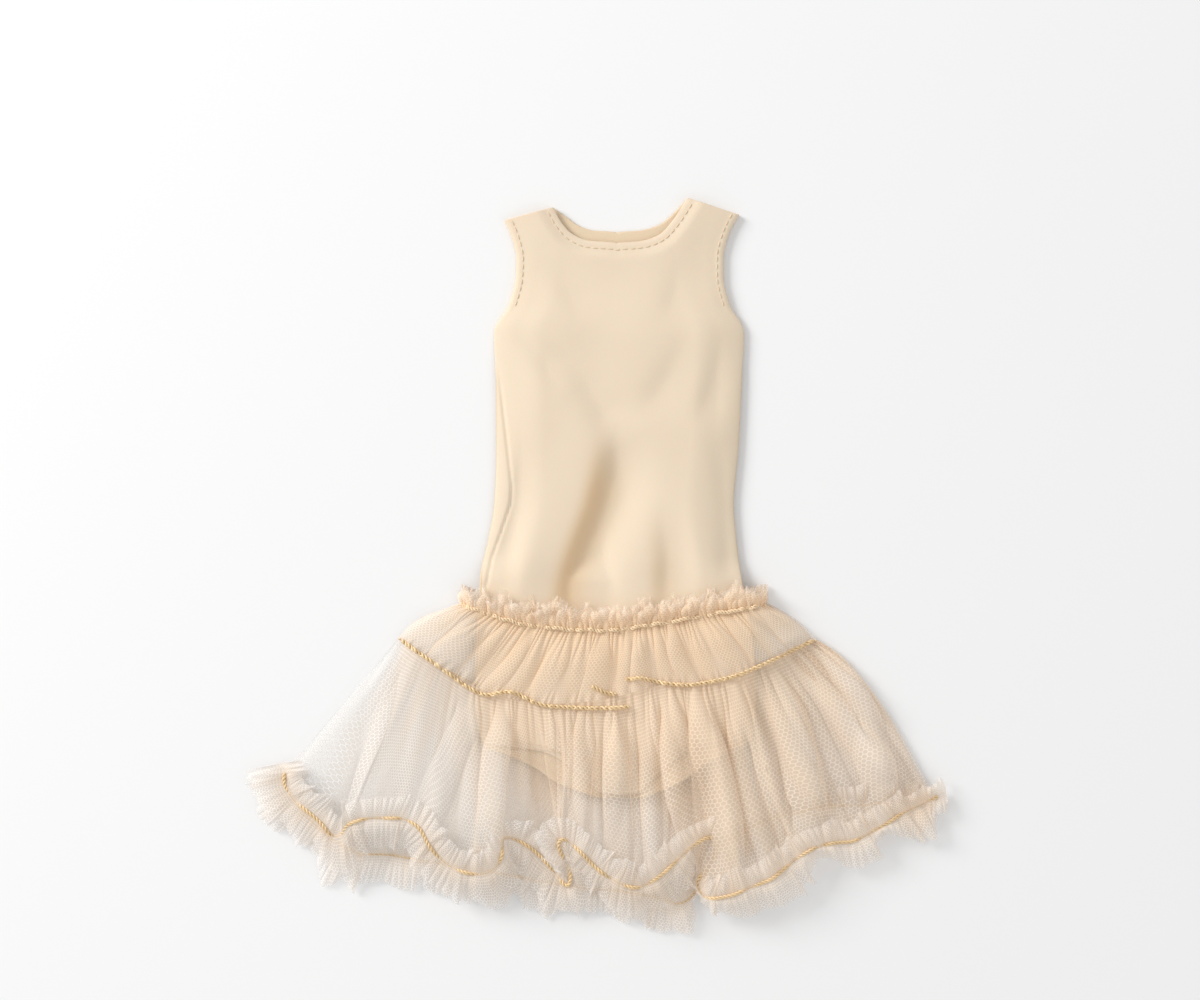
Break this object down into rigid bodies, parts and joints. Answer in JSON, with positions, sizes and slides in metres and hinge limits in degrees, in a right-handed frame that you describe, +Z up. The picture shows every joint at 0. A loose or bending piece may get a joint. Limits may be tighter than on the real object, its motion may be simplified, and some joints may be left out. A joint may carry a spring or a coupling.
{
  "type": "doll ballet leotard with net skirt",
  "caption": "Sleeveless doll's ballet leotard with a gathered two-tier net skirt and ruffled hem sewn round its waist, laid flat on its back.",
  "frame": {"origin": "centre of the underside, on the floor under the middle of the garment's outline", "axes": "+Z up from the floor, +Y from the hem towards the neck, +X towards the right of the picture"},
  "size_m": [0.2319, 0.2426, 0.0144],
  "materials": {
    "hem_ruffle_back": "soft matt net, gathered",
    "hem_ruffle_front": "soft matt net, gathered",
    "leotard_back": "smooth matt jersey",
    "leotard_front": "smooth matt jersey",
    "skirt_lower_tier_back": "soft matt net",
    "skirt_lower_tier_front": "soft matt net",
    "skirt_upper_tier_back": "soft matt net",
    "skirt_upper_tier_front": "soft matt net"
  },
  "bodies": {
    "root": {"hem_ruffle_back": "hem_ruffle_back", "hem_ruffle_front": "hem_ruffle_front", "leotard_back": "leotard_back", "leotard_front": "leotard_front", "skirt_lower_tier_back": "skirt_lower_tier_back", "skirt_lower_tier_front": "skirt_lower_tier_front", "skirt_upper_tier_back": "skirt_upper_tier_back", "skirt_upper_tier_front": "skirt_upper_tier_front"}
  },
  "joints": []
}
